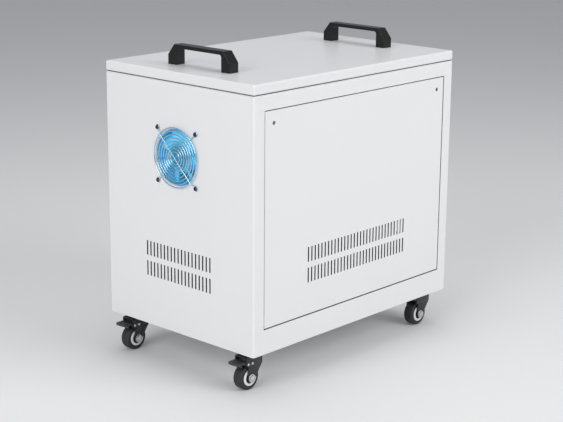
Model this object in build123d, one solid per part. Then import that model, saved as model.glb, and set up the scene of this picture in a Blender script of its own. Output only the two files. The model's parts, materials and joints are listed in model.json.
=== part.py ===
from build123d import *
import math
import os

# Power transformer in a wheeled sheet-metal cabinet, in millimetres.
# +Z is up and the origin is on the floor under the middle of the cabinet. The fan is in the -X end,
# and the front cover is on the -Y side.

# Cabinet sheet work
cabinet_length = 600.0
cabinet_depth = 408.0
body_height = 500.0
sheet = 1.5
bend_inside_radius = 2.5
corner_return = 28.0
top_flange = 28.0
weld_fit = 0.2

# Pan-shaped covers set flush in the long sides, on a ledge that runs round behind them
cover_gap = 1.6
cover_depth = 10.0
cover_edge_radius = 2.4
bottom_rail_height = 48.8
top_rail_height = 29.3
cover_ledge = 36.0
cover_screw_inset = 23.4
cover_screw_drop = 24.1
cover_screw_head_radius = 4.1
cover_screw_hole_radius = 2.6

# Vent slots
slot_width = 3.6
slot_length = 30.0
slot_pitch = 9.8
slot_row_pitch = 41.6
slot_rows = 2
cover_slot_count = 31
end_slot_count = 19
cover_vent_height = 151.5
end_vent_height = 138.0

# Lid and its rubber gasket
lid_height = 19.7
lid_gap = 1.3
lid_return = 20.0
gasket_inset = 3.0
gasket_width = 12.0

# Bridge handles on the lid
handle_span = 170.0
handle_height = 40.0
handle_width = 24.0
handle_foot = 24.0
handle_shoulder = 19.0
handle_slope = 17.0
handle_grip = 7.5
handle_inner_radius = 5.0
handle_edge_radius = 2.0
handle_inset = 70.0

# Base tray that the castors and the transformer stand on
tray_sheet = 2.0
tray_corner_radius = 4.0

# Axial fan
fan_drop = 144.0
fan_opening_radius = 55.5
fan_square = 120.0
fan_thickness = 38.0
fan_bore_radius = 58.0
fan_flange = 5.0
fan_corner_radius = 6.0
fan_screw_pitch = 104.8
fan_duct_wall = 2.0
motor_radius = 30.0
motor_base = 5.0
strut_width = 8.0
strut_count = 4
shaft_radius = 3.0
shaft_clearance = 0.15
rotor_recess = 4.0
rotor_running_gap = 2.0
rotor_wall = 2.5
rotor_boss_radius = 6.0
blade_count = 7
blade_tip_gap = 1.5
blade_thickness = 1.6
blade_camber = 3.0
blade_root_chord = 35.0
blade_tip_chord = 56.0
blade_root_angle = 47.0
blade_tip_angle = 28.0
blade_root_sink = 1.5

# Wire finger guard over the fan
guard_wire = 2.2
guard_ring_count = 8
guard_inner_radius = 12.0
guard_outer_radius = 58.5
guard_standoff = 4.0
guard_joggle = 5.0
guard_weld_share = 0.75
eyelet_radius = 5.6
eyelet_hole_radius = 2.4
wire_sides = 6

# Three-limb transformer core with its windings and clamps
core_length = 380.0
core_rise = 320.0
core_depth = 90.0
core_limb = 70.0
core_lift = 15.0
winding_build = 38.0
winding_fit = 0.5
winding_end_gap = 6.0
winding_corner_radius = 20.0
clamp_thickness = 5.0
clamp_flange = 35.0
clamp_bar_height = 60.0
clamp_overhang = 20.0

# Castors
castor_height = 78.0
castor_end_inset = 36.0
castor_side_inset = 42.0
castor_plate_size = 46.0
castor_plate_thickness = 2.5
castor_plate_corner = 5.0
race_radius = 17.0
race_height = 3.0
race_gap = 0.4
kingpin_radius = 5.0
kingpin_head_radius = 8.0
kingpin_head = 2.5
pin_clearance = 0.15
fork_sheet = 2.5
fork_inner_gap = 27.0
fork_front = 16.0
fork_skirt = 18.0
fork_heel = 5.5
fork_heel_radius = 4.0
fork_eye_radius = 8.5
fork_bend_radius = 2.4
wheel_radius = 25.0
wheel_width = 22.0
wheel_trail = 13.0
hub_radius = 16.5
hub_width = 24.0
hub_rim = 5.0
hub_edge_bevel = 0.8
hub_web = 10.0
hub_boss_radius = 8.0
hub_boss_width = 26.0
tyre_shoulder_radius = 3.5
axle_radius = 4.0
axle_head_across = 13.0
axle_head = 4.5
hex_sides = 6

# Brake pedals of the two castors at the fan end
pedal_pivot_back = 22.0
pedal_pivot_height = 55.0
pedal_pin_radius = 2.0
pedal_boss_radius = 4.4
pedal_neck_width = 24.0
pedal_width = 29.0
pedal_reach = 51.0
pedal_tongue_clearance = 1.5
pedal_tongue_bottom = 2.3
pedal_thickness = 3.4
pedal_corner_radius = 8.0
brake_shoe_drop = 7.0
brake_shoe_length = 3.0
brake_shoe_width = 14.0
brake_shoe_back = 9.0

# One overrun for every cut that passes right through a wall
overrun = 5.0

# Levels and faces that several pieces share
bend_radius = bend_inside_radius + sheet
body_low = castor_height
body_top = body_low + body_height
lid_low = body_top + lid_gap
lid_high = lid_low + lid_height
end_x = -cabinet_length / 2
front_y = -cabinet_depth / 2
tray_top = body_low + tray_sheet
tray_flange = bottom_rail_height / 2
opening_low = body_low + bottom_rail_height
opening_high = body_top - top_rail_height
ledge_y = front_y + cover_depth
rail_half = cabinet_length / 2 - corner_return
ledge_half = rail_half - cover_ledge - weld_fit
fan_z = body_top - fan_drop


def block(x, y, z):
    """A square-edged block between the low and high values of x, y and z."""
    middle = [(low + high) / 2 for low, high in (x, y, z)]
    size = [high - low for low, high in (x, y, z)]
    return Pos(*middle) * Box(*size)


def front_and_rear(piece):
    """The piece and its mirror image on the other long side."""
    return piece + mirror(piece, Plane.XZ)


def to_rear(piece):
    """The same piece turned round to the opposite side of the cabinet."""
    return Rot(0, 0, 180) * piece


def slot_pattern(count):
    """The punched slots of one vent, centred, as flat outlines."""
    places = GridLocations(slot_pitch, slot_row_pitch, count, slot_rows)
    return Sketch() + places * Rectangle(slot_width, slot_length)


def end_wall():
    """The folded end sheet: it wraps both corners, turns in at the top and steps back by each cover."""
    inner_x = end_x + corner_return
    outside = block((end_x, inner_x), (front_y, -front_y), (body_low, body_top))
    corners = outside.edges().filter_by(Axis.Z).sort_by(Axis.X)[:2]
    rim = outside.edges().group_by(Axis.Z)[-1].sort_by(Axis.X)[:3]
    outside = fillet(corners + rim, bend_radius)
    inside = block(
        (end_x + sheet, inner_x + overrun),
        (front_y + sheet, -front_y - sheet),
        (body_low - overrun, body_top - sheet),
    )
    corners = inside.edges().filter_by(Axis.Z).sort_by(Axis.X)[:2]
    rim = inside.edges().group_by(Axis.Z)[-1].sort_by(Axis.X)[:3]
    inside = fillet(corners + rim, bend_inside_radius)
    opening = (opening_low, opening_high)
    step = block((inner_x - sheet, inner_x), (front_y, ledge_y + sheet), opening)
    step += block((inner_x - sheet, inner_x + cover_ledge), (ledge_y, ledge_y + sheet), opening)
    face = Plane.YZ.offset(end_x - overrun) * Pos(0, body_low + end_vent_height)
    vent = extrude(face * slot_pattern(end_slot_count), overrun + sheet + overrun)
    return outside - inside + front_and_rear(step) - vent


def fan_opening():
    """The round cut in the end sheet in front of the fan."""
    circle = Plane.YZ.offset(end_x - overrun) * Pos(0, fan_z) * Circle(fan_opening_radius)
    return extrude(circle, overrun + sheet + overrun)


def top_rail():
    """The sheet over the front cover, with a flange under the lid and a step back to the ledge."""
    low = opening_high
    outside = block((-rail_half, rail_half), (front_y, front_y + top_flange), (low, body_top))
    rim = outside.edges().filter_by(Axis.X).group_by(Axis.Z)[-1].sort_by(Axis.Y)[:1]
    outside = fillet(rim, bend_radius)
    inside = block(
        (-rail_half - overrun, rail_half + overrun),
        (front_y + sheet, front_y + top_flange + overrun),
        (low - overrun, body_top - sheet),
    )
    rim = inside.edges().filter_by(Axis.X).group_by(Axis.Z)[-1].sort_by(Axis.Y)[:1]
    inside = fillet(rim, bend_inside_radius)
    step = block((-rail_half, rail_half), (front_y, ledge_y + sheet), (low, low + sheet))
    ledge = block((-ledge_half, ledge_half), (ledge_y, ledge_y + sheet), (low - cover_ledge, low + sheet))
    return outside - inside + step + ledge


def bottom_rail():
    """The sheet under the front cover, with a step back to the ledge that the cover stands against."""
    high = opening_low
    face = block((-rail_half, rail_half), (front_y, front_y + sheet), (body_low, high))
    step = block((-rail_half, rail_half), (front_y, ledge_y + sheet), (high - sheet, high))
    ledge = block((-ledge_half, ledge_half), (ledge_y, ledge_y + sheet), (high - sheet, high + cover_ledge))
    return face + step + ledge


def screw_hole():
    """A hole through the front sheet with a conical seat for a flush screw head."""
    seat_depth = cover_screw_head_radius - cover_screw_hole_radius
    seat = Rot(90, 0, 0) * Cone(cover_screw_hole_radius, cover_screw_head_radius, seat_depth)
    bore = extrude(Plane.XZ.offset(-front_y) * Circle(cover_screw_hole_radius), -sheet - overrun)
    return Pos(0, front_y + seat_depth / 2, 0) * seat + bore


def cover():
    """The removable cover of the front: a shallow pan with two rows of slots and two screw holes."""
    half = rail_half - cover_gap
    low = opening_low + cover_gap
    high = opening_high - cover_gap
    pan = block((-half, half), (front_y, ledge_y), (low, high))
    pan = fillet(pan.faces().sort_by(Axis.Y)[0].edges(), cover_edge_radius)
    hollow = block(
        (sheet - half, half - sheet),
        (front_y + sheet, ledge_y + overrun),
        (low + sheet, high - sheet),
    )
    face = Plane.XZ.offset(overrun - front_y) * Pos(0, body_low + cover_vent_height)
    vent = extrude(face * slot_pattern(cover_slot_count), -overrun - sheet - overrun)
    pan = pan - hollow - vent
    for x in (cover_screw_inset - half, half - cover_screw_inset):
        pan -= Pos(x, 0, high - cover_screw_drop) * screw_hole()
    return pan


def base_tray():
    """The folded tray across the bottom, with its edges turned up inside the walls."""
    half_x = cabinet_length / 2 - sheet
    half_y = cabinet_depth / 2 - sheet
    outside = block((-half_x, half_x), (-half_y, half_y), (body_low, body_low + tray_flange))
    outside = fillet(outside.edges().filter_by(Axis.Z), tray_corner_radius)
    inner_x = half_x - tray_sheet
    inner_y = half_y - tray_sheet
    inside = block((-inner_x, inner_x), (-inner_y, inner_y), (tray_top, tray_top + body_height))
    inside = fillet(inside.edges().filter_by(Axis.Z), tray_corner_radius)
    return outside - inside


def lid():
    """The shallow lid: a folded tray upside down, its skirt turned in at the bottom."""
    half_x = cabinet_length / 2
    half_y = cabinet_depth / 2
    outside = block((-half_x, half_x), (-half_y, half_y), (lid_low, lid_high))
    outside = fillet(outside.edges(), bend_radius)
    cavity = block(
        (sheet - half_x, half_x - sheet),
        (sheet - half_y, half_y - sheet),
        (lid_low + sheet, lid_high - sheet),
    )
    cavity = fillet(cavity.edges(), bend_inside_radius)
    mouth = block(
        (lid_return - half_x, half_x - lid_return),
        (lid_return - half_y, half_y - lid_return),
        (lid_low - overrun, lid_low + lid_height / 2),
    )
    return outside - cavity - mouth


def lid_gasket():
    """The rubber strip between the lid and the flanges of the body."""
    half_x = cabinet_length / 2 - gasket_inset
    half_y = cabinet_depth / 2 - gasket_inset
    inner_x = half_x - gasket_width
    inner_y = half_y - gasket_width
    strip = block((-half_x, half_x), (-half_y, half_y), (body_top, lid_low))
    return strip - block((-inner_x, inner_x), (-inner_y, inner_y), (body_low, lid_high))


def handle():
    """A moulded bridge handle across the lid, with sloping shoulders and a rounded grip."""
    half = handle_span / 2
    inner = half - handle_foot
    under = handle_height - handle_grip
    right = [
        (inner, 0),
        (half, 0),
        (half, handle_shoulder),
        (half - handle_slope, handle_height),
    ]
    left = [(-y, z) for y, z in reversed(right)]
    profile = make_face(Polyline(*right, *left, (-inner, under), (inner, under), close=True))
    profile = fillet(profile.vertices().group_by(Axis.Y)[-2], handle_inner_radius)
    bar = extrude(Plane.YZ * profile, handle_width / 2, both=True)
    sides = bar.faces().filter_by(Axis.X).edges()
    bar = fillet(sides - bar.faces().sort_by(Axis.Z)[:2].edges(), handle_edge_radius)
    return Pos(end_x + handle_inset, 0, lid_high) * bar


def fan_frame():
    """The square fan housing with its round duct, motor base and struts."""
    front = end_x + sheet
    back = front + fan_thickness
    square = RectangleRounded(fan_square, fan_square, fan_corner_radius)
    flange = extrude(Plane.YZ * square, fan_flange)
    flanges = Pos(front, 0, 0) * flange + Pos(back - fan_flange, 0, 0) * flange
    duct = extrude(Plane.YZ.offset(front) * Circle(fan_bore_radius + fan_duct_wall), fan_thickness)
    bore = extrude(Plane.YZ.offset(front) * Circle(fan_bore_radius), fan_thickness)
    strut = block(
        (back - motor_base, back),
        (0, fan_bore_radius + fan_duct_wall / 2),
        (-strut_width / 2, strut_width / 2),
    )
    motor = extrude(Plane.YZ.offset(back - motor_base) * Circle(motor_radius), motor_base)
    for step in range(strut_count):
        motor += Rot((step + 1 / 2) * 360 / strut_count, 0, 0) * strut
    shaft_low = front + rotor_recess + rotor_wall
    motor += extrude(Plane.YZ.offset(shaft_low) * Circle(shaft_radius), back - motor_base - shaft_low)
    return Pos(0, 0, fan_z) * (flanges + duct - bore + motor)


def blade_section(radius, chord, angle):
    """The curved cross-section of a blade at one radius, set at its angle to the fan's plane."""
    nose = (-chord / 2, 0)
    tail = (chord / 2, 0)
    upper = ThreePointArc(nose, (0, blade_camber + blade_thickness / 2), tail)
    lower = ThreePointArc(tail, (0, blade_camber - blade_thickness / 2), nose)
    stand = Plane(origin=(0, 0, radius), x_dir=(0, 1, 0), z_dir=(0, 0, 1)).rotated((0, 0, angle))
    return stand * make_face([upper, lower])


def fan_rotor():
    """The turning part of the fan: a cup-shaped hub with twisted blades."""
    front = end_x + sheet + rotor_recess
    back = end_x + sheet + fan_thickness - motor_base - rotor_running_gap
    depth = back - front
    hub = extrude(Plane.YZ.offset(front) * Circle(motor_radius), depth)
    hub = fillet(hub.edges().group_by(Axis.X)[0], rotor_wall)
    cup = Circle(motor_radius - rotor_wall) - Circle(rotor_boss_radius)
    hub -= extrude(Plane.YZ.offset(front + rotor_wall) * cup, depth)
    shaft_end = Plane.YZ.offset(front + rotor_wall - shaft_clearance)
    hub -= extrude(shaft_end * Circle(shaft_radius + shaft_clearance), depth)
    root = blade_section(motor_radius - blade_root_sink, blade_root_chord, blade_root_angle)
    tip = blade_section(fan_bore_radius, blade_tip_chord, blade_tip_angle)
    sweep_disc = extrude(Plane.YZ.offset(front) * Circle(fan_bore_radius - blade_tip_gap), depth)
    blade = Pos((front + back) / 2, 0, 0) * loft([root, tip]) & sweep_disc
    for step in range(blade_count):
        hub += Rot(step * 360 / blade_count, 0, 0) * blade
    return Pos(0, 0, fan_z) * hub


def fan_guard():
    """The welded wire guard: rings on two crossed spokes that end in screwed eyelets."""
    wall_x = end_x - guard_wire / 2
    spoke_x = end_x - guard_standoff - guard_wire / 2
    ring_x = spoke_x - guard_wire * guard_weld_share
    eye = fan_screw_pitch / math.sqrt(2)
    foot = eye - eyelet_radius
    path = Polyline(
        (wall_x, 0, -eye + eyelet_hole_radius + guard_wire / 2),
        (wall_x, 0, -foot),
        (spoke_x, 0, -foot + guard_joggle),
        (spoke_x, 0, foot - guard_joggle),
        (wall_x, 0, foot),
        (wall_x, 0, eye - eyelet_hole_radius - guard_wire / 2),
    )
    wire = RegularPolygon(guard_wire / 2, wire_sides)
    spoke = sweep(Plane(origin=path @ 0, z_dir=path % 0) * wire, path, transition=Transition.RIGHT)
    flat_ring = Circle(eyelet_radius) - Circle(eyelet_hole_radius)
    eyelet = extrude(Plane.YZ.offset(end_x - guard_wire) * flat_ring, guard_wire)
    spoke += Pos(0, 0, eye) * eyelet + Pos(0, 0, -eye) * eyelet
    guard = Rot(45, 0, 0) * spoke + Rot(-45, 0, 0) * spoke
    step = (guard_outer_radius - guard_inner_radius) / (guard_ring_count - 1)
    for index in range(guard_ring_count):
        radius = guard_inner_radius + step * index
        guard += revolve(Plane.XZ * Pos(ring_x, radius) * wire, Axis.X)
    return Pos(0, 0, fan_z) * guard


core_low = tray_top + core_lift
core_high = core_low + core_rise
limb_pitch = (core_length - core_limb) / 2


def core():
    """The laminated core: three limbs between two yokes."""
    outline = Rectangle(core_length, core_rise)
    window = Rectangle(limb_pitch - core_limb, core_rise - core_limb * 2)
    outline -= Pos(limb_pitch / 2, 0) * window + Pos(-limb_pitch / 2, 0) * window
    face = Plane.XZ.offset(-core_depth / 2) * Pos(0, (core_low + core_high) / 2) * outline
    return extrude(face, core_depth)


def winding():
    """One winding: a round-cornered coil round a limb."""
    inner = Rectangle(core_limb + winding_fit * 2, core_depth + winding_fit * 2)
    build = winding_fit + winding_build
    outer = RectangleRounded(core_limb + build * 2, core_depth + build * 2, winding_corner_radius)
    height = core_rise - core_limb * 2 - winding_end_gap * 2
    return Pos(0, 0, core_low + core_limb + winding_end_gap) * extrude(outer - inner, height)


def clamp_lower():
    """A lower core clamp: an angle along the yoke with its foot on the tray."""
    half = core_length / 2 + clamp_overhang
    face_y = -core_depth / 2
    web = block((-half, half), (face_y - clamp_thickness, face_y), (tray_top, core_low + clamp_bar_height))
    foot = block((-half, half), (face_y - clamp_flange, face_y), (tray_top, tray_top + clamp_thickness))
    return web + foot


def clamp_upper():
    """An upper core clamp: a channel along the top yoke."""
    half = core_length / 2 + clamp_overhang
    face_y = -core_depth / 2
    low = core_high - clamp_bar_height
    bar = block((-half, half), (face_y - clamp_flange, face_y), (low, core_high))
    hollow = block(
        (-half - overrun, half + overrun),
        (face_y - clamp_flange - overrun, face_y - clamp_thickness),
        (low + clamp_thickness, core_high - clamp_thickness),
    )
    return bar - hollow


fork_outer = fork_inner_gap / 2 + fork_sheet
fork_neck_back = wheel_trail + fork_eye_radius
fork_back = fork_neck_back + fork_heel
plate_low = castor_height - castor_plate_thickness
race_low = plate_low - race_height
crown_high = race_low - race_gap
crown_top = crown_high - race_height
crown_low = crown_top - fork_sheet


def upright(radius, low, high):
    """A round bar on the castor's swivel axis."""
    return extrude(Plane.XY.offset(low) * Circle(radius), high - low)


def across(x, z, radius, half):
    """A round bar across the castor, along Y."""
    return extrude(Plane.XZ * Pos(x, z) * Circle(radius), half, both=True)


def castor_plate():
    """The top plate with its fixed race and the riveted kingpin that the fork turns on."""
    square = RectangleRounded(castor_plate_size, castor_plate_size, castor_plate_corner)
    plate = extrude(Plane.XY.offset(plate_low) * square, castor_plate_thickness)
    head_high = crown_low - race_gap
    head = upright(kingpin_head_radius, head_high - kingpin_head, head_high)
    pin = upright(kingpin_radius, head_high, race_low)
    return plate + upright(race_radius, race_low, plate_low) + pin + head


def castor_fork(braked):
    """The pressed fork: a crown with the turning race and two cheeks that hold the axle."""
    skirt_low = crown_top - fork_skirt
    level = crown_top - fork_skirt / 2
    crown_length = fork_front + fork_neck_back
    crown_side = Pos(fork_front - crown_length / 2, level) * Rectangle(crown_length, fork_skirt)
    eye = Pos(-wheel_trail, wheel_radius) * Circle(fork_eye_radius)
    heel = Pos(-fork_neck_back, level) * Rectangle(fork_heel * 2, fork_skirt)
    side = make_hull(crown_side.edges() + eye.edges()) + heel
    side = fillet(side.vertices().sort_by_distance((-fork_neck_back, skirt_low)).first, fork_heel_radius)
    body = extrude(Plane.XZ * side, fork_outer, both=True)
    body = fillet(body.edges().filter_by(Axis.X).group_by(Axis.Z)[-1], fork_bend_radius)
    gap = block(
        (-fork_back - overrun, fork_front + overrun),
        (-fork_inner_gap / 2, fork_inner_gap / 2),
        (0, crown_low),
    )
    fork = body - gap + upright(race_radius, crown_top - fork_sheet / 2, crown_high)
    fork -= upright(kingpin_radius + pin_clearance, crown_low - overrun, castor_height)
    fork -= across(-wheel_trail, wheel_radius, axle_radius, fork_outer + overrun)
    if braked:
        fork += across(-pedal_pivot_back, pedal_pivot_height, pedal_pin_radius, fork_outer)
    return fork


def castor_axle():
    """The axle bolt with its hexagon head and nut outside the cheeks."""
    hexagon = RegularPolygon(axle_head_across / 2, hex_sides, major_radius=False)
    place = Plane.XZ.offset(fork_outer) * Pos(-wheel_trail, wheel_radius)
    head = extrude(place * hexagon, axle_head)
    return across(-wheel_trail, wheel_radius, axle_radius, fork_outer) + front_and_rear(head)


def castor_hub():
    """The moulded wheel centre: rim, thin web and a boss that turns on the axle."""
    bore = axle_radius + pin_clearance
    rim_inside = hub_radius - hub_rim
    half = [
        (bore, hub_boss_width / 2),
        (hub_boss_radius, hub_boss_width / 2),
        (hub_boss_radius, hub_web / 2),
        (rim_inside, hub_web / 2),
        (rim_inside, hub_width / 2),
        (hub_radius, hub_width / 2),
    ]
    other = [(x, -y) for x, y in reversed(half)]
    profile = make_face(Polyline(*half, *other, close=True))
    rim_corners = [v for v in profile.vertices() if math.isclose(abs(v.Y), hub_width / 2)]
    profile = chamfer(rim_corners, hub_edge_bevel)
    return Pos(-wheel_trail, 0, wheel_radius) * revolve(profile, Axis.Y)


def castor_tyre():
    """The rubber tread moulded round the wheel centre."""
    band = wheel_radius - hub_radius
    profile = Pos(hub_radius + band / 2, 0) * Rectangle(band, wheel_width)
    profile = fillet(profile.vertices().group_by(Axis.X)[-1], tyre_shoulder_radius)
    return Pos(-wheel_trail, 0, wheel_radius) * revolve(profile, Axis.Y)


def castor_pedal():
    """The brake pedal: a wide tongue on a boss round the fork's pin, with a shoe over the tyre."""
    pin_x = -pedal_pivot_back
    pin_z = pedal_pivot_height
    tongue_low = pin_z + pedal_tongue_bottom
    tongue_high = tongue_low + pedal_thickness
    tongue_end = -fork_back - pedal_tongue_clearance
    neck_half = pedal_neck_width / 2
    boss = across(pin_x, pin_z, pedal_boss_radius, neck_half)
    neck = block((tongue_end, pin_x), (-neck_half, neck_half), (pin_z - pedal_thickness / 2, tongue_high))
    plan = Pos((tongue_end - pedal_reach) / 2, 0) * Rectangle(tongue_end + pedal_reach, pedal_width)
    plan = fillet(plan.vertices().group_by(Axis.X)[0], pedal_corner_radius)
    tongue = extrude(Plane.XY.offset(tongue_low) * plan, pedal_thickness)
    shoe_x = pin_x - brake_shoe_back
    shoe = block(
        (shoe_x - brake_shoe_length / 2, shoe_x + brake_shoe_length / 2),
        (-brake_shoe_width / 2, brake_shoe_width / 2),
        (pin_z - brake_shoe_drop, tongue_high),
    )
    bore = across(pin_x, pin_z, pedal_pin_radius + pin_clearance, neck_half + overrun)
    return boss + neck + tongue + shoe - bore


fan_end_sheet = end_wall()
lid_handle = handle()
nodes = {
    "base_tray": base_tray(),
    "fan_end_wall": fan_end_sheet - fan_opening(),
    "far_end_wall": to_rear(fan_end_sheet),
    "front_top_rail": top_rail(),
    "rear_top_rail": to_rear(top_rail()),
    "front_bottom_rail": bottom_rail(),
    "rear_bottom_rail": to_rear(bottom_rail()),
    "front_cover": cover(),
    "rear_cover": to_rear(cover()),
    "lid": lid(),
    "lid_gasket": lid_gasket(),
    "handle_fan_end": lid_handle,
    "handle_far_end": to_rear(lid_handle),
    "fan_frame": fan_frame(),
    "fan_rotor": fan_rotor(),
    "fan_guard": fan_guard(),
    "core": core(),
    "winding_fan_end": Pos(-limb_pitch, 0, 0) * winding(),
    "winding_middle": winding(),
    "winding_far_end": Pos(limb_pitch, 0, 0) * winding(),
    "core_clamps_lower": front_and_rear(clamp_lower()),
    "core_clamps_upper": front_and_rear(clamp_upper()),
}

castor_x = cabinet_length / 2 - castor_end_inset
castor_y = cabinet_depth / 2 - castor_side_inset
for end, x, braked in (("fan", -castor_x, True), ("far", castor_x, False)):
    for side, y in (("front", -castor_y), ("rear", castor_y)):
        place = Pos(x, y, 0)
        name = f"castor_{end}_{side}"
        nodes[f"{name}_plate"] = place * castor_plate()
        nodes[f"{name}_fork"] = place * castor_fork(braked)
        nodes[f"{name}_axle"] = place * castor_axle()
        nodes[f"{name}_hub"] = place * castor_hub()
        nodes[f"{name}_tyre"] = place * castor_tyre()
        if braked:
            nodes[f"{name}_pedal"] = place * castor_pedal()

os.makedirs("parts", exist_ok=True)
for name, shape in nodes.items():
    export_step(shape, f"parts/{name}.step")
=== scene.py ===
import json
import math

import bpy
from mathutils import Matrix, Vector

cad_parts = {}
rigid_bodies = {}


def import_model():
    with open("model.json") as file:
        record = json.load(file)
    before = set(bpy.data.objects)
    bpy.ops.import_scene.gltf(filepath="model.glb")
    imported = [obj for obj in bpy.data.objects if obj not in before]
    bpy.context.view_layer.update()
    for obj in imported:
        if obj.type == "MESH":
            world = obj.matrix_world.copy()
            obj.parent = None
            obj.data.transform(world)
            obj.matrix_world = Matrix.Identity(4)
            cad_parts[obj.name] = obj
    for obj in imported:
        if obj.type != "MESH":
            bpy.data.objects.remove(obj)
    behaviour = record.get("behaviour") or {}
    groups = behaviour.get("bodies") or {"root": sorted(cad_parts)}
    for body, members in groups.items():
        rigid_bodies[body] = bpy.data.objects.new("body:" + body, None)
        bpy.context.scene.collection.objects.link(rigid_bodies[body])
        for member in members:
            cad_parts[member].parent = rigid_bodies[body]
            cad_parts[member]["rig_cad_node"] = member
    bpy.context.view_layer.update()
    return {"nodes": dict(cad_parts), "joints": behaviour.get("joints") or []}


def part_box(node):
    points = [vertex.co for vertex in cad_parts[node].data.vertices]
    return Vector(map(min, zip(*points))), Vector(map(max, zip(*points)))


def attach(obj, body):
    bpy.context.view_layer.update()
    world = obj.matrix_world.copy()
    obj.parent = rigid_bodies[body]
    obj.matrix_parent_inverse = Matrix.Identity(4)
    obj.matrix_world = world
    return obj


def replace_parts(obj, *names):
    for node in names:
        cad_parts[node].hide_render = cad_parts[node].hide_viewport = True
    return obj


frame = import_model()

# Base tray, end walls and rails: folded steel sheet under a white powder coat, with painted shade inside.
# The sheets are welded at the corners and ground flush before coating, so the coat runs on without a seam.
# The coat has the fine dimpled skin of baked powder and a satin gloss; near-black painted shade stands on
# the inner faces, the ledges behind the covers and the slots' cut edges.
COAT = {"colour": (0.80, 0.80, 0.805), "shade": (0.775, 0.775, 0.78), "drift": 3.0, "grain": 700}
# Painted shade: a near-black colour and gloss where shade falls inside the cabinet, on the ledges behind
# the covers and on the slots' cut edges.
PAINTED_SHADE = (0.006, 0.006, 0.007, 1)
PAINTED_SHADE_ROUGH = 0.9
SHADE_DEPTH = 0.0013
SHADE_FLOOR = 0.0015
SHADE_TOP = 0.0020
SLOT_RIM = 0.0002
SLOTS_LOW = 0.1780
SLOTS_HIGH = 0.2680
COVER_SLOTS_HALF = 0.1600
END_SLOTS_HALF = 0.1000
DRIFT_DETAIL = 3
GRAIN_DETAIL = 2
DIMPLE_STRENGTH = 0.5
COLOUR = "NodeSocketColor"
VALUE = "NodeSocketFloat"


def new_group(name, inputs, outputs):
    """An empty shader group with named sockets, and its input and output nodes."""
    group = bpy.data.node_groups.new(name, "ShaderNodeTree")
    for way, sockets in (("INPUT", inputs), ("OUTPUT", outputs)):
        for socket, kind in sockets.items():
            group.interface.new_socket(socket, in_out=way, socket_type=kind)
    return group, group.nodes.new("NodeGroupInput"), group.nodes.new("NodeGroupOutput")


def skin_group():
    """A surface that drifts gently between two colours and is dimpled by a fine grain."""
    group, given, out = new_group(
        "skin",
        {
            "Colour": COLOUR,
            "Shade": COLOUR,
            "Drift Scale": VALUE,
            "Grain Scale": VALUE,
            "Rough Low": VALUE,
            "Rough High": VALUE,
        },
        {"Colour": COLOUR, "Roughness": VALUE, "Height": VALUE},
    )
    nodes, links = group.nodes, group.links
    place = nodes.new("ShaderNodeTexCoord")
    drift = nodes.new("ShaderNodeTexNoise")
    drift.inputs["Detail"].default_value = DRIFT_DETAIL
    links.new(place.outputs["Object"], drift.inputs["Vector"])
    links.new(given.outputs["Drift Scale"], drift.inputs["Scale"])
    grain = nodes.new("ShaderNodeTexNoise")
    grain.inputs["Detail"].default_value = GRAIN_DETAIL
    links.new(place.outputs["Object"], grain.inputs["Vector"])
    links.new(given.outputs["Grain Scale"], grain.inputs["Scale"])
    tone = nodes.new("ShaderNodeMix")
    tone.data_type = "RGBA"
    links.new(drift.outputs["Fac"], tone.inputs["Factor"])
    links.new(given.outputs["Colour"], tone.inputs["A"])
    links.new(given.outputs["Shade"], tone.inputs["B"])
    links.new(tone.outputs["Result"], out.inputs["Colour"])
    rough = nodes.new("ShaderNodeMapRange")
    links.new(grain.outputs["Fac"], rough.inputs["Value"])
    links.new(given.outputs["Rough Low"], rough.inputs["To Min"])
    links.new(given.outputs["Rough High"], rough.inputs["To Max"])
    links.new(rough.outputs["Result"], out.inputs["Roughness"])
    links.new(grain.outputs["Fac"], out.inputs["Height"])
    return group


def add_group(material, group, values):
    """Places a shader group in a material with values of its own."""
    placed = material.node_tree.nodes.new("ShaderNodeGroup")
    placed.node_tree = group
    for socket, value in values.items():
        placed.inputs[socket].default_value = value
    return placed


def finish(name, colour, shade, drift, grain, rough, bump, **fixed):
    """A material with the skin's colour, gloss and dimples; fixed sets plain values on the shader."""
    material = bpy.data.materials.new(name)
    material.use_nodes = True
    nodes, links = material.node_tree.nodes, material.node_tree.links
    surface = add_group(material, skin, {
        "Colour": (*colour, 1),
        "Shade": (*shade, 1),
        "Drift Scale": drift,
        "Grain Scale": grain,
        "Rough Low": rough[0],
        "Rough High": rough[1],
    })
    surface.name = "surface"
    dimple = nodes.new("ShaderNodeBump")
    dimple.inputs["Strength"].default_value = DIMPLE_STRENGTH
    dimple.inputs["Distance"].default_value = bump
    shader = nodes["Principled BSDF"]
    links.new(surface.outputs["Height"], dimple.inputs["Height"])
    links.new(surface.outputs["Colour"], shader.inputs["Base Color"])
    links.new(surface.outputs["Roughness"], shader.inputs["Roughness"])
    links.new(dimple.outputs["Normal"], shader.inputs["Normal"])
    for socket, value in fixed.items():
        shader.inputs[socket.replace("_", " ")].default_value = value
    return material


def math_node(group, operation, first, second=0):
    """A maths node in a group, fed by one or two values, each a socket or a number."""
    made = group.nodes.new("ShaderNodeMath")
    made.operation = operation
    for socket, value in zip(made.inputs, (first, second)):
        if isinstance(value, (int, float)):
            socket.default_value = value
        else:
            group.links.new(value, socket)
    return made.outputs["Value"]


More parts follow.
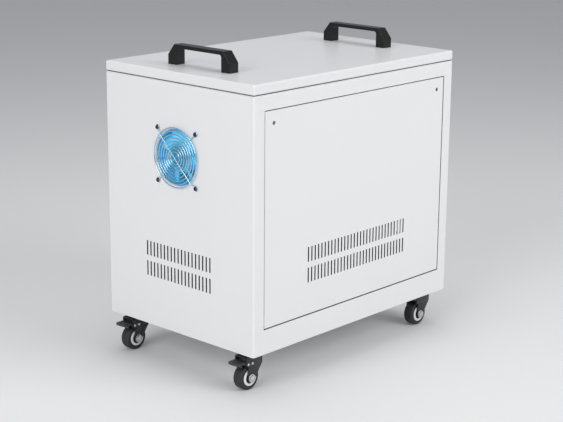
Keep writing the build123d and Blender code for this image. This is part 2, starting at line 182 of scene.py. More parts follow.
def painted_inside_group():
    """One finish outside a box about the cabinet's axis, and another colour and gloss painted inside it.
    """
    group, given, out = new_group(
        "painted_inside",
        {
            "Outside": COLOUR,
            "Inside": COLOUR,
            "Outside Rough": VALUE,
            "Inside Rough": VALUE,
            "Half X": VALUE,
            "Half Y": VALUE,
            "Low": VALUE,
            "High": VALUE,
        },
        {"Colour": COLOUR, "Roughness": VALUE},
    )
    nodes, links = group.nodes, group.links
    place = nodes.new("ShaderNodeTexCoord")
    parts = nodes.new("ShaderNodeSeparateXYZ")
    links.new(place.outputs["Object"], parts.inputs["Vector"])
    along = math_node(group, "ABSOLUTE", parts.outputs["X"])
    across = math_node(group, "ABSOLUTE", parts.outputs["Y"])
    mask = math_node(group, "LESS_THAN", along, given.outputs["Half X"])
    for operation, value, limit in (
        ("LESS_THAN", across, "Half Y"),
        ("GREATER_THAN", parts.outputs["Z"], "Low"),
        ("LESS_THAN", parts.outputs["Z"], "High"),
    ):
        within = math_node(group, operation, value, given.outputs[limit])
        mask = math_node(group, "MULTIPLY", mask, within)
    tone = nodes.new("ShaderNodeMix")
    tone.data_type = "RGBA"
    links.new(mask, tone.inputs["Factor"])
    links.new(given.outputs["Outside"], tone.inputs["A"])
    links.new(given.outputs["Inside"], tone.inputs["B"])
    links.new(tone.outputs["Result"], out.inputs["Colour"])
    rough = nodes.new("ShaderNodeMix")
    links.new(mask, rough.inputs["Factor"])
    links.new(given.outputs["Outside Rough"], rough.inputs["A"])
    links.new(given.outputs["Inside Rough"], rough.inputs["B"])
    links.new(rough.outputs["Result"], out.inputs["Roughness"])
    return group


def zone(half_x, half_y, low, high):
    """The limits of a painted box about the cabinet's axis."""
    return {"Half X": half_x, "Half Y": half_y, "Low": low, "High": high}


def paint_shade_inside(material, zones):
    """Paints shade, near-black, in place of a material's coat inside each zone."""
    nodes, links = material.node_tree.nodes, material.node_tree.links
    last = nodes["surface"]
    for limits in zones:
        shaded = add_group(material, painted_inside, {"Inside": PAINTED_SHADE, "Inside Rough": PAINTED_SHADE_ROUGH, **limits})
        links.new(last.outputs["Colour"], shaded.inputs["Outside"])
        links.new(last.outputs["Roughness"], shaded.inputs["Outside Rough"])
        last = shaded
    shader = nodes["Principled BSDF"]
    links.new(last.outputs["Colour"], shader.inputs["Base Color"])
    links.new(last.outputs["Roughness"], shader.inputs["Roughness"])


def dress(material, *names):
    """Gives CAD nodes their finish."""
    for name in names:
        frame["nodes"][name].material_slots[0].material = material


skin = skin_group()
painted_inside = painted_inside_group()
coat = finish("white_powder_coat", **COAT, rough=(0.34, 0.44), bump=0.00006)
body_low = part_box("far_end_wall")[0].z
half_length, half_depth, body_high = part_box("far_end_wall")[1]
inside_x = half_length - SHADE_DEPTH
inside_y = half_depth - SHADE_DEPTH
# The inside, the ledges behind the covers and the slots' cut edges get painted shade.
paint_shade_inside(coat, (
    zone(inside_x, inside_y, body_low + SHADE_FLOOR, body_high - SHADE_TOP),
    zone(COVER_SLOTS_HALF, half_depth - SLOT_RIM, SLOTS_LOW, SLOTS_HIGH),
    zone(half_length - SLOT_RIM, END_SLOTS_HALF, SLOTS_LOW, SLOTS_HIGH),
))
dress(coat, "base_tray", "fan_end_wall", "far_end_wall", "front_top_rail", "rear_top_rail")
dress(coat, "front_bottom_rail", "rear_bottom_rail")

# Front and rear covers: shallow folded pans, coated like the body and punched with two rows of slots.
# Each rests on the ledge behind it and is held by a screw in each top corner.
dress(coat, "front_cover", "rear_cover")

# Cover screws: countersunk steel screws with a cross recess, two to a cover.
# Each head is turned to a cone, punched, and driven in just below the face of its cover.
SCREW_INSET = 0.0234
SCREW_DROP = 0.0241
SCREW_SUNK = 0.0001
SCREW_HEAD_RADIUS = 0.0040
SCREW_SHANK_RADIUS = 0.0023
SCREW_HEAD_DEPTH = 0.0016
SCREW_SHANK = 0.0098
SCREW_LAND = 0.0003
SCREW_EASE = 0.00035
SCREW_SIDES = 32
CROSS_LENGTH = 0.0046
CROSS_WIDTH = 0.0010
CROSS_DEPTH = 0.0012
SMOOTH_ANGLE = math.radians(35)
FLAT_SHARE = 0.99
LEVEL_SLACK = 0.00001


def only(piece):
    """Selects one piece and makes it the active one."""
    bpy.ops.object.select_all(action="DESELECT")
    piece.select_set(True)
    bpy.context.view_layer.objects.active = piece


def edit_faces(piece, wanted):
    """Goes into edit mode with just the faces selected that pass a test."""
    only(piece)
    bpy.ops.object.mode_set(mode="EDIT")
    bpy.ops.mesh.select_mode(type="FACE")
    bpy.ops.mesh.select_all(action="DESELECT")
    bpy.ops.object.mode_set(mode="OBJECT")
    for face in piece.data.polygons:
        face.select = wanted(face)
    bpy.ops.object.mode_set(mode="EDIT")


def extrude(offset):
    """Extrudes the selected faces by an offset."""
    bpy.ops.mesh.extrude_region_move(TRANSFORM_OT_translate={"value": offset})


def widen(share):
    """Widens or narrows the selected faces about the Z axis."""
    bpy.ops.transform.resize(value=(share, share, 1))


def leave_edit():
    """Turns the normals outward and goes back to object mode."""
    bpy.ops.mesh.select_all(action="SELECT")
    bpy.ops.mesh.normals_make_consistent(inside=False)
    bpy.ops.object.mode_set(mode="OBJECT")


def modify(piece, kind, **settings):
    """Gives a piece a modifier and applies it."""
    only(piece)
    bpy.ops.object.modifier_add(type=kind)
    made = piece.modifiers[-1]
    for name, value in settings.items():
        setattr(made, name, value)
    bpy.ops.object.modifier_apply(modifier=made.name)


def drop(piece):
    """Removes a piece that was only a pattern or a tool."""
    only(piece)
    bpy.ops.object.delete()


def rod(radius, low, high, sides):
    """A round bar along Z between two heights, to be worked on."""
    bpy.ops.object.select_all(action="DESELECT")
    middle = (0, 0, (low + high) / 2)
    bpy.ops.mesh.primitive_cylinder_add(vertices=sides, radius=radius, depth=high - low, location=middle)
    bpy.ops.object.transform_apply()
    return bpy.context.active_object


def bar(size, middle):
    """A square-edged bar of a size about a point, to be worked on."""
    bpy.ops.object.select_all(action="DESELECT")
    bpy.ops.mesh.primitive_cube_add(size=1, location=middle)
    bpy.context.active_object.scale = size
    bpy.ops.object.transform_apply()
    return bpy.context.active_object


def topmost(piece):
    """A test for the flat faces at the top of a piece."""
    high = max(v.co.z for v in piece.data.vertices)
    return lambda face: face.center.z > high - LEVEL_SLACK and face.normal.z > FLAT_SHARE


def punch_cross(screw, top):
    """Sinks a cross recess into the top of a screw head."""
    for length, width in ((CROSS_LENGTH, CROSS_WIDTH), (CROSS_WIDTH, CROSS_LENGTH)):
        tool = bar((length, width, 2 * CROSS_DEPTH), (0, 0, top))
        modify(screw, "BOOLEAN", object=tool, operation="DIFFERENCE", solver="EXACT")
        drop(tool)


def copy_to(pattern, name, turn, spot, body):
    """A copy of a pattern with its own mesh, turned and moved into place, that rides on a body."""
    only(pattern)
    bpy.ops.object.duplicate()
    piece = bpy.context.active_object
    piece.name = name
    piece.rotation_euler = turn
    piece.location = spot
    bpy.ops.object.transform_apply()
    bpy.ops.object.shade_smooth_by_angle(angle=SMOOTH_ANGLE)
    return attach(piece, body)


screw_zinc = finish(
    "screw_zinc", colour=(0.30, 0.30, 0.31), shade=(0.22, 0.22, 0.23),
    drift=300, grain=2500, rough=(0.22, 0.36), bump=0.00002, Metallic=1.0,
)
sunk_screw = rod(SCREW_SHANK_RADIUS, -SCREW_SHANK, -SCREW_HEAD_DEPTH, SCREW_SIDES)
edit_faces(sunk_screw, topmost(sunk_screw))
extrude((0, 0, SCREW_HEAD_DEPTH - SCREW_LAND))
widen(SCREW_HEAD_RADIUS / SCREW_SHANK_RADIUS)
extrude((0, 0, SCREW_LAND / 2))
bpy.ops.mesh.inset(thickness=SCREW_EASE, depth=SCREW_LAND / 2)
leave_edit()
punch_cross(sunk_screw, 0)
sunk_screw.data.materials.append(screw_zinc)
cover_half, cover_face, cover_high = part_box("rear_cover")[1]
screw_x = cover_half - SCREW_INSET
for side, sign in (("front", -1), ("rear", 1)):
    for end, x in (("fan_end", -screw_x), ("far_end", screw_x)):
        spot = (x, sign * (cover_face - SCREW_SUNK), cover_high - SCREW_DROP)
        turn = (-sign * math.pi / 2, 0, 0)
        copy_to(sunk_screw, f"screw_{side}_cover_{end}", turn, spot, "cabinet")
drop(sunk_screw)

# Lid and gasket: a shallow folded tray, coated like the body but smoother, on a black rubber strip.
# The strip is set back, so a narrow dark gap runs round under the lid.
lid_coat = finish("white_lid_coat", **COAT, rough=(0.26, 0.34), bump=0.00003)
rubber_strip = finish(
    "gasket_rubber", colour=(0.02, 0.02, 0.02), shade=(0.03, 0.03, 0.03),
    drift=20, grain=900, rough=(0.7, 0.85), bump=0.0001,
)
dress(lid_coat, "lid")
dress(rubber_strip, "lid_gasket")

# Handles: moulded black plastic bridges, screwed up through the lid from below.
# The mould leaves a fine satin grain.
handle_plastic = finish(
    "black_handle_plastic", colour=(0.005, 0.0055, 0.006), shade=(0.008, 0.0085, 0.009),
    drift=25, grain=1500, rough=(0.28, 0.38), bump=0.00006, Specular_IOR_Level=0.32,
)
dress(handle_plastic, "handle_fan_end", "handle_far_end")

# Fan rotor and housing: clear blue mouldings, with the hub's light painted into them.
# Their colour and glow are strongest half way out along the blades and fade to the tips and to the hub.
# The fan's light on what lies behind it inside the cabinet is painted on as a glow.
HUB_BLUE = (0.04, 0.26, 0.42)
BLADE_BLUE = (0.15, 0.68, 0.94)
TIP_BLUE = (0.03, 0.27, 0.54)
HOUSING_BLUE = (0.09, 0.46, 0.70)
SPILL_BLUE = (0.10, 0.55, 0.90)
DARK = (0, 0, 0)
ROTOR_GLOW = 0.22
HOUSING_GLOW = 0.24
SPILL_GLOW = 0.30
GLOW_RADIUS = 0.058
SPILL_RADIUS = 0.30
SPILL_LOW = 0.290
SPILL_HIGH = 0.520
SPILL_COVERS_HALF = 0.230
SPILL_ENDS_HALF = 0.190
GLOW_SHARES = {"Blade": (0.30, 0.62), "Rim": (0.68, 1.0)}


def glow_group():
    """Three colours about an axis along X: at the axis, half way out and at the rim."""
    group, given, out = new_group(
        "fan_glow",
        {"Axis Height": VALUE, "Radius": VALUE, "Hub": COLOUR, "Blade": COLOUR, "Rim": COLOUR},
        {"Colour": COLOUR},
    )
    nodes, links = group.nodes, group.links
    place = nodes.new("ShaderNodeTexCoord")
    parts = nodes.new("ShaderNodeSeparateXYZ")
    links.new(place.outputs["Object"], parts.inputs["Vector"])
    rise = math_node(group, "SUBTRACT", parts.outputs["Z"], given.outputs["Axis Height"])
    side_squared = math_node(group, "MULTIPLY", parts.outputs["Y"], parts.outputs["Y"])
    rise_squared = math_node(group, "MULTIPLY", rise, rise)
    distance = math_node(group, "SQRT", math_node(group, "ADD", side_squared, rise_squared))
    share = math_node(group, "DIVIDE", distance, given.outputs["Radius"])
    outward = given.outputs["Hub"]
    for colour, (low, high) in GLOW_SHARES.items():
        reach = nodes.new("ShaderNodeMapRange")
        reach.interpolation_type = "SMOOTHSTEP"
        reach.inputs["From Min"].default_value = low
        reach.inputs["From Max"].default_value = high
        links.new(share, reach.inputs["Value"])
        tone = nodes.new("ShaderNodeMix")
        tone.data_type = "RGBA"
        links.new(reach.outputs["Result"], tone.inputs["Factor"])
        links.new(outward, tone.inputs["A"])
        links.new(given.outputs[colour], tone.inputs["B"])
        outward = tone.outputs["Result"]
    links.new(outward, out.inputs["Colour"])
    return group


def fan_light(material, radius, hub, blade, rim):
    """Places the fan's colours in a material, out to a radius about the fan's axis."""
    return add_group(material, fan_glow, {
        "Axis Height": fan_height,
        "Radius": radius,
        "Hub": (*hub, 1),
        "Blade": (*blade, 1),
        "Rim": (*rim, 1),
    })


def shine(material, light, strength):
    """Lets a material shine in the colour that a group puts out."""
    shader = material.node_tree.nodes["Principled BSDF"]
    material.node_tree.links.new(light.outputs["Colour"], shader.inputs["Emission Color"])
    shader.inputs["Emission Strength"].default_value = strength


def light_up(material, rim, strength):
    """Paints the hub's light into a moulding: its colour and glow run from the hub's to the blades' and to
    its own at the rim.
    """
    glow = fan_light(material, GLOW_RADIUS, HUB_BLUE, BLADE_BLUE, rim)
    shader = material.node_tree.nodes["Principled BSDF"]
    material.node_tree.links.new(glow.outputs["Colour"], shader.inputs["Base Color"])
    shine(material, glow, strength)


def paint_fan_spill(material):
    """Paints the fan's light as a glow on a material inside the cabinet, fading out from the fan's axis.
    """
    links = material.node_tree.links
    spill = fan_light(material, SPILL_RADIUS, SPILL_BLUE, SPILL_BLUE, DARK)
    on_covers = zone(SPILL_COVERS_HALF, inside_y, SPILL_LOW, SPILL_HIGH)
    on_ends = zone(inside_x, SPILL_ENDS_HALF, SPILL_LOW, SPILL_HIGH)
    covers = add_group(material, painted_inside, {"Outside": (*DARK, 1), **on_covers})
    ends = add_group(material, painted_inside, on_ends)
    links.new(spill.outputs["Colour"], covers.inputs["Inside"])
    links.new(spill.outputs["Colour"], ends.inputs["Inside"])
    links.new(covers.outputs["Colour"], ends.inputs["Outside"])
    shine(material, ends, SPILL_GLOW)


pivots = {joint["name"]: Vector(joint["pos_m"]) for joint in frame["joints"]}
fan_height = pivots["fan_spin"].z
fan_glow = glow_group()
rotor_plastic = finish(
    "blue_rotor", colour=BLADE_BLUE, shade=BLADE_BLUE,
    drift=30, grain=900, rough=(0.18, 0.30), bump=0.00004,
)
housing_plastic = finish(
    "fan_housing", colour=HOUSING_BLUE, shade=HOUSING_BLUE,
    drift=30, grain=900, rough=(0.35, 0.5), bump=0.00005,
)
# The mouldings' colour and glow are painted light from the hub.
light_up(rotor_plastic, TIP_BLUE, ROTOR_GLOW)
light_up(housing_plastic, HOUSING_BLUE, HOUSING_GLOW)
# Painted light: the fan's blue glow on the coat's inner faces near the fan.
paint_fan_spill(coat)
dress(rotor_plastic, "fan_rotor")
dress(housing_plastic, "fan_frame")

# Finger guard: eight rings of bright plated wire, welded between two crossed spokes.
# The spokes step down to the end sheet, and each end is rolled into an eyelet for a screw.
WIRE_RADIUS = 0.0011
WIRE_SIDES = 12
RING_COUNT = 8
RING_INNER = 0.0120
RING_OUTER = 0.0585
RING_STEPS = 96
RING_GAP = 0.0040
EYE_PITCH = 0.1048
EYE_REACH = EYE_PITCH / math.sqrt(2)
EYE_RADIUS = 0.0045
EYE_STEPS = 32
SPOKE_LEAD = 0.0011
SPOKE_FOOT = EYE_REACH - EYE_RADIUS - SPOKE_LEAD
SPOKE_JOGGLE = 0.0050
SPOKE_STEP = 0.00165
end_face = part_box("fan_end_wall")[0].x
wall_x = end_face - WIRE_RADIUS
ring_x = wall_x - RING_GAP


def join(pieces):
    """Joins pieces into the first of them."""
    only(pieces[0])
    for piece in pieces[1:]:
        piece.select_set(True)
    bpy.ops.object.join()
    return bpy.context.active_object


def turned(piece, angles):
    """The piece turned about the origin, with the turn in its mesh."""
    only(piece)
    piece.rotation_euler = angles
    bpy.ops.object.transform_apply()
    return piece


def wire_ring(x, radius, steps, middle):
    """A ring of wire about an axis along X, swept from the wire's round section."""
    bpy.ops.object.select_all(action="DESELECT")
    bpy.ops.mesh.primitive_circle_add(
        vertices=WIRE_SIDES,
        radius=WIRE_RADIUS,
        location=(x, 0, middle + radius),
        rotation=(math.pi / 2, 0, 0),
    )
    ring = bpy.context.active_object
    bpy.ops.object.transform_apply()
    bpy.ops.object.mode_set(mode="EDIT")
    bpy.ops.mesh.select_all(action="SELECT")
    bpy.ops.mesh.spin(steps=steps, angle=2 * math.pi, center=(x, 0, middle), axis=(1, 0, 0))
    bpy.ops.mesh.select_all(action="SELECT")
    bpy.ops.mesh.remove_doubles(threshold=LEVEL_SLACK)
    leave_edit()
    return ring


def spoke(x):
    """One spoke upright across the fan's axis, drawn out section by section, with its two eyelets."""
    bpy.ops.object.select_all(action="DESELECT")
    bpy.ops.mesh.primitive_circle_add(
        vertices=WIRE_SIDES,
        radius=WIRE_RADIUS,
        fill_type="NGON",
        location=(wall_x, 0, EYE_RADIUS - EYE_REACH),
    )
    wire = bpy.context.active_object
    bpy.ops.object.transform_apply()
    bpy.ops.object.mode_set(mode="EDIT")
    bpy.ops.mesh.select_all(action="SELECT")
    extrude((0, 0, SPOKE_LEAD))
    extrude((x - wall_x, 0, SPOKE_JOGGLE))
    extrude((0, 0, 2 * (SPOKE_FOOT - SPOKE_JOGGLE)))
    extrude((wall_x - x, 0, SPOKE_JOGGLE))
    extrude((0, 0, SPOKE_LEAD))
    leave_edit()
    return join([wire] + [wire_ring(wall_x, EYE_RADIUS, EYE_STEPS, z) for z in (-EYE_REACH, EYE_REACH)])


# The wire's blue tint is a painted reflection of the fan's glow.
guard_wire_painted_glow = finish(
    "guard_chrome", colour=(0.52, 0.72, 0.84), shade=(0.46, 0.66, 0.79),
    drift=60, grain=1200, rough=(0.08, 0.16), bump=0.00002, Metallic=1.0,
)
wires = []
for step in range(RING_COUNT):
    radius = RING_INNER + (RING_OUTER - RING_INNER) * step / (RING_COUNT - 1)
    wires.append(wire_ring(ring_x, radius, RING_STEPS, 0))
wires.append(turned(spoke(ring_x + SPOKE_STEP), (math.pi / 4, 0, 0)))
wires.append(turned(spoke(ring_x - SPOKE_STEP), (-math.pi / 4, 0, 0)))
guard = join(wires)
guard.name = "fan_guard_wires"
guard.location = (0, 0, fan_height)
bpy.ops.object.transform_apply()
bpy.ops.object.shade_smooth_by_angle(angle=SMOOTH_ANGLE)
guard.data.materials.append(guard_wire_painted_glow)
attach(guard, "cabinet")
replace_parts(guard, "fan_guard")

# Guard screws: four domed screws with a cross recess, blackened, through the guard's eyelets into the fan.
# Each head is pressed to a dome and sits on the wire of its eyelet.
DOME_RADIUS = 0.0042
DOME_RIM = 0.0008
DOME_RISES = (0.0007, 0.0005, 0.0003)
DOME_SHARES = (0.90, 0.80, 0.66)
DOME_TOP = DOME_RIM + sum(DOME_RISES)
GUARD_SHANK = 0.0080
screw_black = finish(
    "screw_black", colour=(0.05, 0.055, 0.07), shade=(0.08, 0.085, 0.10),
    drift=300, grain=2500, rough=(0.25, 0.38), bump=0.00002, Metallic=1.0,
)


def domed(radius, rim, rises, shares, shank):
    """A domed head upright on its seat at z = 0, drawn in step by step, with a shank below."""
    head = rod(SCREW_SHANK_RADIUS, -shank, 0, SCREW_SIDES)
    edit_faces(head, topmost(head))
    extrude((0, 0, 0))
    widen(radius / SCREW_SHANK_RADIUS)
    extrude((0, 0, rim))
    for rise, share in zip(rises, shares):
        extrude((0, 0, rise))
        widen(share)
    leave_edit()
    return head


guard_screw = domed(DOME_RADIUS, DOME_RIM, DOME_RISES, DOME_SHARES, GUARD_SHANK)
punch_cross(guard_screw, DOME_TOP)
guard_screw.data.materials.append(screw_black)
half_pitch = EYE_PITCH / 2
for row, rise in (("upper", half_pitch), ("lower", -half_pitch)):
    for side, y in (("front", -half_pitch), ("rear", half_pitch)):
        spot = (end_face - 2 * WIRE_RADIUS, y, fan_height + rise)
        copy_to(guard_screw, f"screw_guard_{row}_{side}", (0, -math.pi / 2, 0), spot, "cabinet")
drop(guard_screw)

# Core, windings and clamps: stacked sheet steel, varnished coils and painted angles.
# They stand on the tray and are seen only as dim shapes through the slots,
# and between the fan's blades, in the fan's light painted on them as a glow.
core_steel = finish(
    "core_sheet_steel", colour=(0.10, 0.10, 0.105), shade=(0.07, 0.07, 0.075),
    drift=40, grain=600, rough=(0.4, 0.6), bump=0.0001,
)
winding_varnish = finish(
    "winding_varnish", colour=(0.12, 0.055, 0.022), shade=(0.08, 0.035, 0.015),
    drift=40, grain=500, rough=(0.35, 0.5), bump=0.0002,
)
clamp_paint = finish(
    "clamp_paint", colour=(0.03, 0.03, 0.033), shade=(0.022, 0.022, 0.025),
    drift=20, grain=700, rough=(0.4, 0.55), bump=0.0001,
)
# Painted light: the fan's glow on the core, windings and clamps.
for material in (core_steel, winding_varnish, clamp_paint):
    paint_fan_spill(material)
dress(core_steel, "core")
dress(winding_varnish, "winding_fan_end", "winding_middle", "winding_far_end")
dress(clamp_paint, "core_clamps_lower", "core_clamps_upper")

# Castor plates and forks: pressed steel under a black coat, the plates screwed up into the tray.
# They show their eased press edges, so each is a softened copy of its CAD node.
PRESS_EASE = 0.0004
PRESS_ANGLE = math.radians(40)
FLAT_ANGLE = math.radians(1)
MERGE_SLACK = 0.000002
corners = [f"castor_{end}_{side}" for end in ("fan", "far") for side in ("front", "rear")]
fork_steel = finish(
    "black_castor_steel", colour=(0.014, 0.014, 0.016), shade=(0.022, 0.022, 0.025),
    drift=30, grain=900, rough=(0.3, 0.45), bump=0.00005,
)


def ease(piece, width, segments, angle):
    """Rounds the edges of a piece that are sharper than an angle."""
    modify(piece, "BEVEL", width=width, segments=segments, limit_method="ANGLE", angle_limit=angle)


def softened(node, name, material, body):
    """A copy of a CAD node, merged, with its sharp edges eased, that stands for the node."""
    only(frame["nodes"][node])
    bpy.ops.object.duplicate()
    piece = bpy.context.active_object
    piece.name = name
    del piece["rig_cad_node"]
    bpy.ops.object.mode_set(mode="EDIT")
    bpy.ops.mesh.select_all(action="SELECT")
    bpy.ops.mesh.remove_doubles(threshold=MERGE_SLACK)
    bpy.ops.mesh.dissolve_limited(angle_limit=FLAT_ANGLE)
    leave_edit()
    ease(piece, PRESS_EASE, segments=2, angle=PRESS_ANGLE)
    bpy.ops.object.shade_smooth_by_angle(angle=PRESS_ANGLE)
    piece.data.materials.clear()
    piece.data.materials.append(material)
    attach(piece, body)
    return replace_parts(piece, node)


for corner in corners:
    softened(f"{corner}_plate", f"{corner}_plate_eased", fork_steel, "cabinet")
    softened(f"{corner}_fork", f"{corner}_fork_eased", fork_steel, f"{corner}_swivel")

# Plate screws: four blackened domed screws in the corners of each castor plate.
# Each is pressed and punched like the guard's screws and driven up into the tray.
PLATE_SCREW_REACH = 0.0175
PLATE_SCREW_RADIUS = 0.0034
PLATE_SHANK = 0.0040
plate_screw = domed(PLATE_SCREW_RADIUS, DOME_RIM, DOME_RISES, DOME_SHARES, PLATE_SHANK)
punch_cross(plate_screw, DOME_TOP)
plate_screw.data.materials.append(screw_black)
for corner in corners:
    for index, (along, over) in enumerate(((-1, -1), (-1, 1), (1, -1), (1, 1))):
        spot = pivots[f"{corner}_turn"] + PLATE_SCREW_REACH * Vector((along, over, 0))
        copy_to(plate_screw, f"{corner}_plate_screw_{index}", (math.pi, 0, 0), spot, "cabinet")
drop(plate_screw)

# Wheel centres: white moulded plastic, dished on both sides, with dark painted shade on the dish and its
# six ribs.
# The dish is drawn in from a plain disc with a little draft, and the bore runs through the boss.
HUB_RADIUS = 0.0165
HUB_HALF = 0.0120
HUB_EASE = 0.0008
HUB_RIM = 0.0050
HUB_DRAFT = 0.0003
HUB_WEB_HALF = 0.0050
HUB_BOSS_RADIUS = 0.0080
HUB_BOSS_HALF = 0.0130
HUB_BORE = 0.00415
HUB_RIB_COUNT = 6
HUB_RIB_THICKNESS = 0.0012
HUB_RIB_HALF = 0.0100
HUB_RIB_ROOT = 0.0005
HUB_RIB_EASE = 0.0002
WHEEL_SIDES = 72
RIM_ANGLE = math.radians(70)
hub_plastic = finish(
    "white_wheel_centre", colour=(0.82, 0.82, 0.83), shade=(0.76, 0.76, 0.77),
    drift=30, grain=900, rough=(0.25, 0.38), bump=0.00005,
)
dish_painted_shade = finish(
    "wheel_dish_painted_shade", colour=(0.03, 0.03, 0.032), shade=(0.04, 0.04, 0.043),
    drift=30, grain=900, rough=(0.4, 0.5), bump=0.00005,
)


def end_faces(half):
    """A test for the flat faces at both ends of a wheel that lies with its axis along Z."""
    return lambda face: abs(face.normal.z) > FLAT_SHARE and abs(abs(face.center.z) - half) < LEVEL_SLACK


def bore_through(piece, half, rim):
    """Opens both end faces inside a rim and joins the two edges with a bore."""
    edit_faces(piece, end_faces(half))
    bpy.ops.mesh.inset(thickness=rim)
    bpy.ops.mesh.delete(type="FACE")
    bpy.ops.mesh.select_mode(type="EDGE")
    bpy.ops.mesh.select_non_manifold()
    bpy.ops.mesh.bridge_edge_loops()
    leave_edit()


def wheel_centre():
    """The wheel centre with its axis along Z."""
    dish_radius = HUB_RADIUS - HUB_RIM
    disc = rod(HUB_RADIUS, -HUB_HALF, HUB_HALF, WHEEL_SIDES)
    ease(disc, HUB_EASE, segments=3, angle=RIM_ANGLE)
    edit_faces(disc, end_faces(HUB_HALF))
    bpy.ops.mesh.inset(thickness=HUB_RIM - HUB_EASE)
    bpy.ops.mesh.inset(thickness=HUB_DRAFT, depth=HUB_WEB_HALF - HUB_HALF)
    bpy.ops.mesh.inset(thickness=dish_radius - HUB_BOSS_RADIUS - HUB_DRAFT)
    bpy.ops.mesh.inset(thickness=HUB_DRAFT, depth=HUB_BOSS_HALF - HUB_WEB_HALF)
    leave_edit()
    bore_through(disc, HUB_BOSS_HALF, HUB_BOSS_RADIUS - HUB_DRAFT - HUB_BORE)
    ribs = []
    reach = (dish_radius + HUB_BOSS_RADIUS) / 2
    span = dish_radius - HUB_BOSS_RADIUS + 2 * HUB_RIB_ROOT
    for step in range(HUB_RIB_COUNT):
        rib = bar((span, HUB_RIB_THICKNESS, 2 * HUB_RIB_HALF), (reach, 0, 0))
        ease(rib, HUB_RIB_EASE, segments=2, angle=RIM_ANGLE)
        ribs.append(turned(rib, (0, 0, step * 2 * math.pi / HUB_RIB_COUNT)))
    return join([disc] + ribs)


def fit_to_axles(pattern, name, body, node):
    """Puts a copy of a pattern on each castor's axle, in place of a CAD node, and removes the pattern."""
    for corner in corners:
        spot = pivots[f"{corner}_roll"]
        piece = copy_to(pattern, f"{corner}_{name}", (math.pi / 2, 0, 0), spot, f"{corner}_{body}")
        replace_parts(piece, f"{corner}_{node}")
    drop(pattern)


centre = wheel_centre()
centre.data.materials.append(hub_plastic)
centre.data.materials.append(dish_painted_shade)
# Painted shade on the faces inside the rim: the dish, its ribs, the boss and the bore.
edit_faces(centre, lambda face: face.center.xy.length < HUB_RADIUS - HUB_RIM)
centre.active_material_index = 1
bpy.ops.object.material_slot_assign()
bpy.ops.object.mode_set(mode="OBJECT")
fit_to_axles(centre, "wheel_centre", "wheel", "hub")

# Treads: black rubber bands moulded round the wheel centres, with rounded shoulders.
# Each side wall is sunk a little inside a raised bead, and a fine mould line runs round the middle.
TREAD_RADIUS = 0.0250
TREAD_HALF = 0.0110
TREAD_SHOULDER = 0.0035
TREAD_BEAD = 0.0016
TREAD_WALL_SUNK = 0.0005
MOULD_LINE = 0.00025
MOULD_LINE_EDGE = MOULD_LINE / 4
TREAD_OUTSIDE_SHARE = 0.98
tread_rubber = finish(
    "black_tread", colour=(0.016, 0.016, 0.018), shade=(0.028, 0.028, 0.03),
    drift=40, grain=700, rough=(0.5, 0.7), bump=0.0001,
)


def tread():
    """The tread with its axis along Z."""
    band = rod(TREAD_RADIUS, -TREAD_HALF, TREAD_HALF, WHEEL_SIDES)
    ease(band, TREAD_SHOULDER, segments=5, angle=RIM_ANGLE)
    edit_faces(band, end_faces(TREAD_HALF))
    bpy.ops.mesh.inset(thickness=TREAD_BEAD)
    bpy.ops.mesh.inset(thickness=TREAD_WALL_SUNK, depth=-TREAD_WALL_SUNK)
    leave_edit()
    rim = TREAD_RADIUS - TREAD_SHOULDER - TREAD_BEAD - TREAD_WALL_SUNK - HUB_RADIUS
    bore_through(band, TREAD_HALF - TREAD_WALL_SUNK, rim)
    only(band)
    bpy.ops.object.mode_set(mode="EDIT")
    for level in (-MOULD_LINE, MOULD_LINE):
        bpy.ops.mesh.select_all(action="SELECT")
        bpy.ops.mesh.bisect(plane_co=(0, 0, level), plane_no=(0, 0, 1))
    bpy.ops.object.mode_set(mode="OBJECT")
    outside = TREAD_RADIUS * TREAD_OUTSIDE_SHARE
    edit_faces(band, lambda face: abs(face.center.z) < MOULD_LINE and face.center.xy.length > outside)
    bpy.ops.mesh.inset(thickness=MOULD_LINE_EDGE, depth=-MOULD_LINE)
    leave_edit()
    return band


band = tread()
band.data.materials.append(tread_rubber)
fit_to_axles(band, "tread", "wheel", "tyre")

# Axle bolts: bright plated steel, a hexagon nut on a washer outside each cheek.
# The bolt's rounded end shows in the middle of the nut.
AXLE_RADIUS = 0.0039
AXLE_END = 0.0205
CHEEK_FACE = 0.0160
WASHER_RADIUS = 0.0082
WASHER = 0.0008
WASHER_EASE = 0.0002
NUT_HALF_WIDTH = 0.0065
NUT_CORNER = NUT_HALF_WIDTH / math.cos(math.pi / 6)
NUT_SIDES = 6
NUT_TOP = 0.0199
NUT_EASE = 0.0006
bolt_steel = finish(
    "bright_bolt", colour=(0.70, 0.70, 0.71), shade=(0.60, 0.60, 0.62),
    drift=60, grain=900, rough=(0.18, 0.30), bump=0.00003, Metallic=1.0,
)


def axle():
    """The bolt with its washers and nuts, its axis along Z."""
    shank = rod(AXLE_RADIUS, -AXLE_END, AXLE_END, SCREW_SIDES)
    ease(shank, NUT_EASE, segments=3, angle=RIM_ANGLE)
    pieces = [shank]
    nut_seat = CHEEK_FACE + WASHER
    for sign in (-1, 1):
        washer = rod(WASHER_RADIUS, *sorted((sign * CHEEK_FACE, sign * nut_seat)), SCREW_SIDES)
        ease(washer, WASHER_EASE, segments=2, angle=RIM_ANGLE)
        nut = rod(NUT_CORNER, *sorted((sign * nut_seat, sign * NUT_TOP)), NUT_SIDES)
        ease(nut, NUT_EASE, segments=2, angle=RIM_ANGLE)
        pieces += [washer, nut]
    return join(pieces)


bolt = axle()
bolt.data.materials.append(bolt_steel)
fit_to_axles(bolt, "axle_bolt", "swivel", "axle")

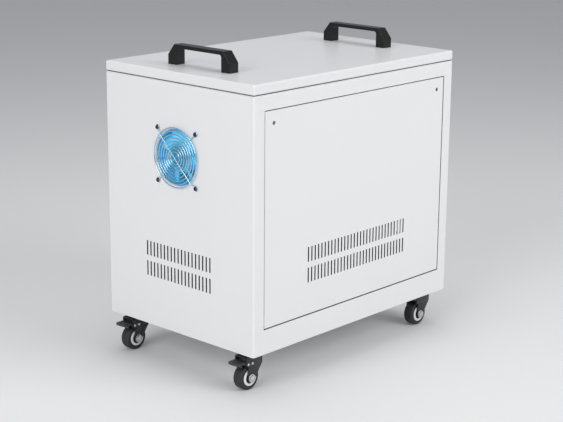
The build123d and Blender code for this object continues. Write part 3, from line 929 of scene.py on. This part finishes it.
# Brake pedals and rivets: black moulded pedals on the two castors at the fan end.
# Each has three grip ribs across its tongue; two bright rivets show on each cheek, one on the pedal's pin.
RIVET_RADIUS = 0.0028
RIVET_RIM = 0.0004
RIVET_RISES = (0.0004, 0.0004, 0.0002)
RIVET_SHARES = (0.92, 0.80, 0.60)
RIVET_SHANK = 0.0020
RIVETS_ALONG = (0, 0.0110)
GRIPS_ALONG = (-0.0125, -0.0175, -0.0225)
GRIP_LENGTHS = (0.0230, 0.0210, 0.0150)
GRIP_WIDTH = 0.0016
GRIP_RISE = 0.0007
GRIP_EASE = 0.00042
pedal_plastic = finish(
    "black_pedal", colour=(0.03, 0.032, 0.034), shade=(0.045, 0.047, 0.05),
    drift=30, grain=1200, rough=(0.35, 0.5), bump=0.00008,
)
rivet = domed(RIVET_RADIUS, RIVET_RIM, RIVET_RISES, RIVET_SHARES, RIVET_SHANK)
rivet.data.materials.append(bolt_steel)
for corner in ("castor_fan_front", "castor_fan_rear"):
    pin = pivots[f"{corner}_press"]
    tongue_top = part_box(f"{corner}_pedal")[1].z
    pedal = softened(f"{corner}_pedal", f"{corner}_pedal_ribbed", pedal_plastic, f"{corner}_brake")
    for along, length in zip(GRIPS_ALONG, GRIP_LENGTHS):
        grip = bar((GRIP_WIDTH, length, 2 * GRIP_RISE), (pin.x + along, pin.y, tongue_top))
        ease(grip, GRIP_EASE, segments=3, angle=RIM_ANGLE)
        grip.data.materials.append(pedal_plastic)
        bpy.ops.object.shade_smooth_by_angle(angle=SMOOTH_ANGLE)
        pedal = join([pedal, grip])
    for index, along in enumerate(RIVETS_ALONG):
        for face, sign in (("front", -1), ("rear", 1)):
            spot = pin + Vector((along, sign * CHEEK_FACE, 0))
            turn = (-sign * math.pi / 2, 0, 0)
            copy_to(rivet, f"{corner}_rivet_{face}_{index}", turn, spot, f"{corner}_swivel")
drop(rivet)

# Floor, light and camera: a plain pale floor and three soft square lamps, under an even pale sky.
# The camera stands where the photograph was taken from, and its lens takes in the same angle.
FLOOR_SIZE = 12.0
SKY = (0.93, 0.95, 1.0, 1)
SKY_STRENGTH = 0.40
LAMP_AIM = (0, 0, 0.33)
CAMERA_PLACE = (-2.16199, -1.99021, 1.05295)
CAMERA_AZIMUTH = -47.32
CAMERA_ELEVATION = 14.90
CAMERA_ROLL = 0.45
CAMERA_FOCAL_PIXELS = 1455.26
PHOTO_WIDTH = 563
SENSOR = 36.0
bpy.ops.object.select_all(action="DESELECT")
bpy.ops.mesh.primitive_plane_add(size=FLOOR_SIZE)
floor = bpy.context.active_object
floor.name = "floor"
floor_finish = finish(
    "pale_floor", colour=(0.80, 0.80, 0.80), shade=(0.79, 0.79, 0.79),
    drift=0.5, grain=200, rough=(0.6, 0.7), bump=0.0, Specular_IOR_Level=0.05,
)
floor.data.materials.append(floor_finish)

world = bpy.data.worlds.new("studio")
world.use_nodes = True
sky = world.node_tree.nodes["Background"]
sky.inputs["Color"].default_value = SKY
sky.inputs["Strength"].default_value = SKY_STRENGTH
bpy.context.scene.world = world


def softbox(name, place, size, watts):
    """A square area lamp at a place, facing the middle of the cabinet."""
    bpy.ops.object.select_all(action="DESELECT")
    bpy.ops.object.light_add(type="AREA", location=place)
    lamp = bpy.context.active_object
    lamp.name = name
    lamp.data.size = size
    lamp.data.energy = watts
    lamp.rotation_euler = (Vector(LAMP_AIM) - Vector(place)).to_track_quat("-Z", "Y").to_euler()


softbox("key_light", place=(0.9, -3.2, 1.9), size=2.2, watts=60)
softbox("end_light", place=(-3.2, -0.6, 1.7), size=2.2, watts=56)
softbox("top_light", place=(0.2, 0.4, 3.2), size=2.5, watts=26)

bpy.ops.object.camera_add()
camera = bpy.context.active_object
camera.name = "photo_camera"
azimuth = math.radians(CAMERA_AZIMUTH)
elevation = math.radians(CAMERA_ELEVATION)
back = Vector((
    math.sin(azimuth) * math.cos(elevation),
    -math.cos(azimuth) * math.cos(elevation),
    math.sin(elevation),
))
right = Vector((math.cos(azimuth), math.sin(azimuth), 0))
up = back.cross(right)
aim = Matrix((right, up, back)).transposed().to_4x4()
roll = Matrix.Rotation(math.radians(CAMERA_ROLL), 4, "Z")
camera.matrix_world = Matrix.Translation(CAMERA_PLACE) @ aim @ roll
camera.data.sensor_fit = "HORIZONTAL"
camera.data.sensor_width = SENSOR
camera.data.lens = CAMERA_FOCAL_PIXELS / PHOTO_WIDTH * SENSOR
bpy.context.scene.camera = camera
bpy.context.scene.view_settings.view_transform = "Standard"
